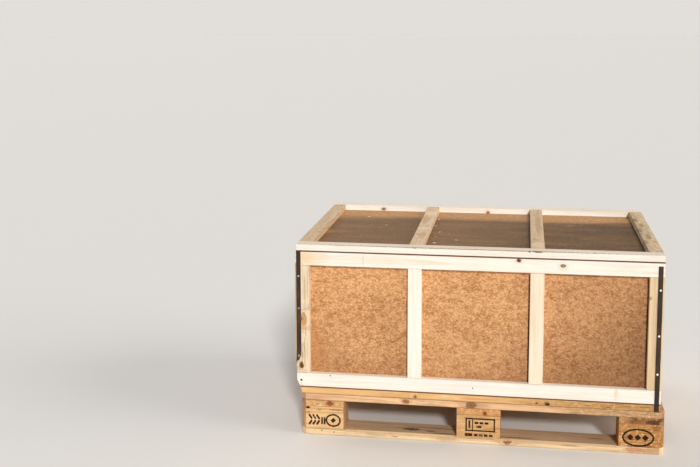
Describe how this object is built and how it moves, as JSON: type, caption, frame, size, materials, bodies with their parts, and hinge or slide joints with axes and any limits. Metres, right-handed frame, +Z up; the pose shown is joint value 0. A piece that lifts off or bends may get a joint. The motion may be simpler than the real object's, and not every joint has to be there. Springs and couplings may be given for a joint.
{
  "type": "wooden crate on a flat pallet",
  "caption": "Closed shipping crate of hardboard sheets framed with pine battens, with steel edge strips, standing on a four-way wooden flat pallet.",
  "frame": {"origin": "on the floor under the pallet's centre, on the underside of the middle skid", "axes": "+X along the pallet's long side, towards the right of the pictured side; +Y from the pictured side to the back; +Z up"},
  "size_m": [1.2245, 0.8136, 0.662],
  "materials": {
    "skid_wood": "rough sawn, scuffed",
    "block_wood": "rough sawn",
    "cross_wood": "rough sawn, stained ends",
    "deck_wood": "rough sawn, scuffed",
    "floor_batten_wood": "planed",
    "rail_wood": "planed, pale",
    "post_wood": "planed, pale",
    "lid_batten_wood": "planed, dusty",
    "hardboard": "smooth mottled fibreboard",
    "lid_hardboard": "dusty fibreboard",
    "strip_steel": "dark rolled steel"
  },
  "bodies": {
    "root": {"back_head": "rail_wood", "back_panel": "hardboard", "back_post_1": "post_wood", "back_post_2": "post_wood", "back_post_3": "post_wood", "back_post_4": "post_wood", "back_sill": "rail_wood", "floor_cross_1": "floor_batten_wood", "floor_cross_2": "floor_batten_wood", "floor_cross_3": "floor_batten_wood", "floor_cross_4": "floor_batten_wood", "floor_panel": "hardboard", "floor_rail_back": "floor_batten_wood", "floor_rail_front": "floor_batten_wood", "front_head": "rail_wood", "front_panel": "hardboard", "front_post_1": "post_wood", "front_post_2": "post_wood", "front_post_3": "post_wood", "front_post_4": "post_wood", "front_sill": "rail_wood", "left_head": "rail_wood", "left_panel": "hardboard", "left_post_back": "post_wood", "left_post_front": "post_wood", "left_sill": "rail_wood", "lid_cross_1": "lid_batten_wood", "lid_cross_2": "lid_batten_wood", "lid_cross_3": "lid_batten_wood", "lid_cross_4": "lid_batten_wood", "lid_panel": "lid_hardboard", "lid_rail_back": "rail_wood", "lid_rail_front": "rail_wood", "pallet_blocks_back": "block_wood", "pallet_blocks_front": "block_wood", "pallet_blocks_mid": "block_wood", "pallet_cross_left": "cross_wood", "pallet_cross_mid": "cross_wood", "pallet_cross_right": "cross_wood", "pallet_deck_1": "deck_wood", "pallet_deck_2": "deck_wood", "pallet_deck_3": "deck_wood", "pallet_deck_4": "deck_wood", "pallet_deck_5": "deck_wood", "pallet_skid_back": "skid_wood", "pallet_skid_front": "skid_wood", "pallet_skid_mid": "skid_wood", "right_head": "rail_wood", "right_panel": "hardboard", "right_post_back": "post_wood", "right_post_front": "post_wood", "right_sill": "rail_wood", "strip_back_left": "strip_steel", "strip_back_right": "strip_steel", "strip_front_left": "strip_steel", "strip_front_right": "strip_steel"}
  },
  "joints": []
}
